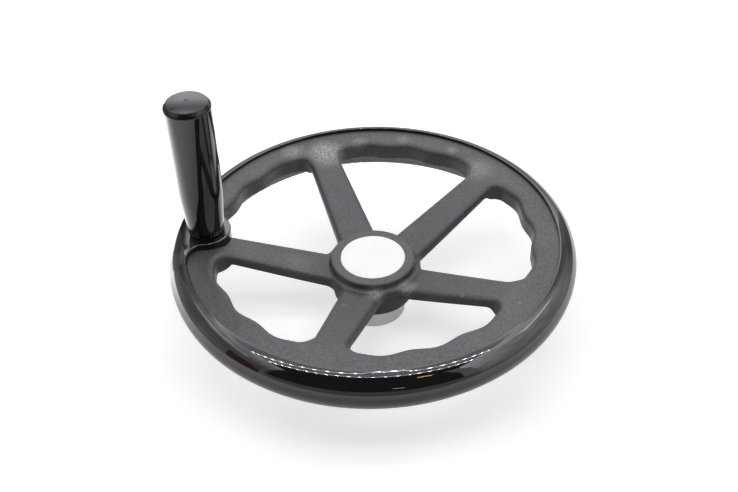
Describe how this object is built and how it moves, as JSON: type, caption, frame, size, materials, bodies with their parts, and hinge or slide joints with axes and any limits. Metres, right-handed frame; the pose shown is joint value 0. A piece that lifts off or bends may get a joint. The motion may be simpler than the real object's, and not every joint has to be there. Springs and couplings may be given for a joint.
{
  "type": "machine handwheel",
  "caption": "Dished spoked handwheel with a flat matte rim face, a scalloped inner edge, a keyed steel bush, a capped hub and a freely revolving side handle.",
  "frame": {"origin": "wheel axis at the foot of the steel bush, on the surface that it stands on", "axes": "+Z along the wheel axis towards the cap; the side handle stands up on the -X side"},
  "size_m": [0.2, 0.2, 0.1261],
  "materials": {
    "wheel_moulding": "polished black thermoset, spark-textured matte on the flat faces",
    "bush_steel": "turned, phosphated",
    "cap_plastic": "satin white",
    "insert_brass": "turned",
    "spindle_steel": "turned, zinc plated",
    "ring_steel": "spring steel",
    "grip_moulding": "polished black thermoset"
  },
  "bodies": {
    "wheel": {"wheel_body": "wheel_moulding", "hub_bush": "bush_steel", "hub_cap": "cap_plastic", "boss_insert": "insert_brass", "handle_spindle": "spindle_steel", "spindle_snap_ring": "ring_steel"},
    "handle": {"handle_grip": "grip_moulding"}
  },
  "joints": [
    {"name": "handle_spin", "type": "hinge", "parent": "wheel", "child": "handle", "pos_m": [-0.0817, 0, 0.0518], "axis": [0, 0, 1], "continuous": true}
  ]
}
